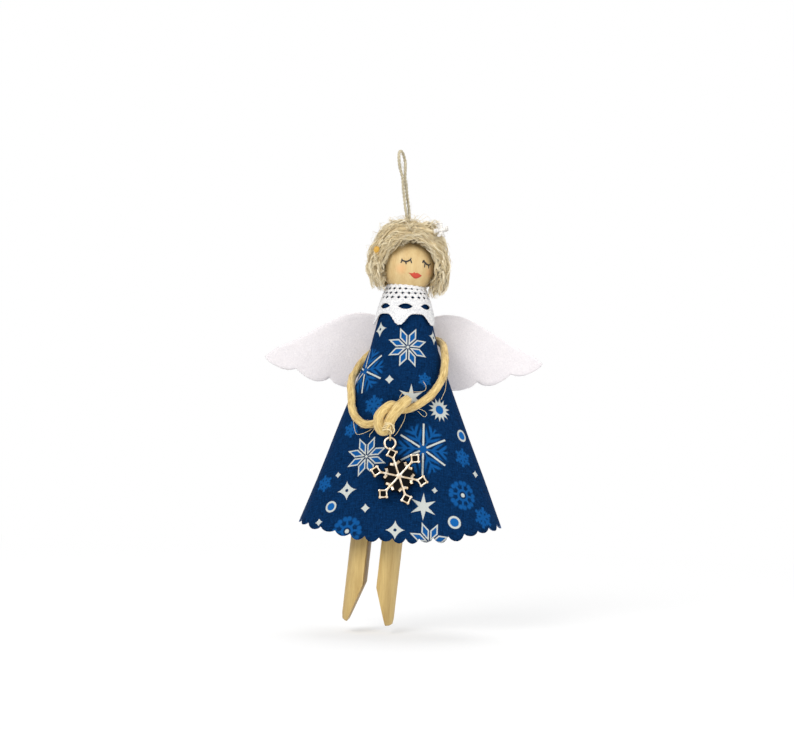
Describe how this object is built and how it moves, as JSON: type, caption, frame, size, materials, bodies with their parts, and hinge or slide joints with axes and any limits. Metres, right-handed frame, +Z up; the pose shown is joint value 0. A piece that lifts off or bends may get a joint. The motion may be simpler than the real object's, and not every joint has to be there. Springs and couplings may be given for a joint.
{
  "type": "angel ornament",
  "caption": "Hanging angel doll: a turned wooden peg in a printed cotton dress with lace collar, felt wings, knotted cord arms, a snowflake charm and a linen loop.",
  "frame": {"origin": "inside top of the hanging loop, where a hook carries the ornament", "axes": "+Z up along the hanging line, the doll faces -Y, +X to the viewer's right"},
  "size_m": [0.0816, 0.0317, 0.1371],
  "materials": {
    "wood": "raw turned beech",
    "printed_cotton": "navy cotton with a silver-white print",
    "lace": "white cotton lace",
    "felt": "white wool felt",
    "arm_cord": "soft golden-beige cord",
    "tie_thread": "cream thread",
    "antique_silver": "cast, darkened in the recesses",
    "mohair": "ash-blond mohair",
    "ribbon": "white ribbon",
    "bead": "glossy",
    "linen": "grey-beige twisted linen"
  },
  "bodies": {
    "hanger": {"hang_loop": "linen"},
    "doll": {"wooden_peg": "wood", "dress": "printed_cotton", "lace_collar": "lace", "felt_wings": "felt", "left_arm_upper": "arm_cord", "right_arm_upper": "arm_cord", "hair_cap": "mohair", "left_hair_lock": "mohair", "right_hair_lock": "mohair", "hair_bow": "ribbon", "yellow_bead": "bead", "loop_stem": "linen"},
    "arms": {"left_arm_lower": "arm_cord", "right_arm_lower": "arm_cord", "hands_knot": "arm_cord"},
    "thread": {"charm_thread": "tie_thread"},
    "charm": {"snowflake_charm": "antique_silver"}
  },
  "joints": [
    {"name": "doll_swing", "type": "hinge", "parent": "hanger", "child": "doll", "pos_m": [0.0024, 0, -0.0173], "axis": [1, 0, 0], "range_deg": [-45, 45]},
    {"name": "hands_lift", "type": "hinge", "parent": "doll", "child": "arms", "pos_m": [-0.01225, -0.0002, -0.0653], "axis": [-0.9644, 0.1598, -0.2107], "range_deg": [0, 35]},
    {"name": "thread_swing", "type": "hinge", "parent": "arms", "child": "thread", "pos_m": [-0.0008, -0.01444, -0.0783], "axis": [0, 1, 0], "range_deg": [-30, 30]},
    {"name": "charm_flip", "type": "hinge", "parent": "thread", "child": "charm", "pos_m": [-0.0008, -0.01444, -0.08168], "axis": [-1, 0, 0], "range_deg": [0, 100]}
  ]
}
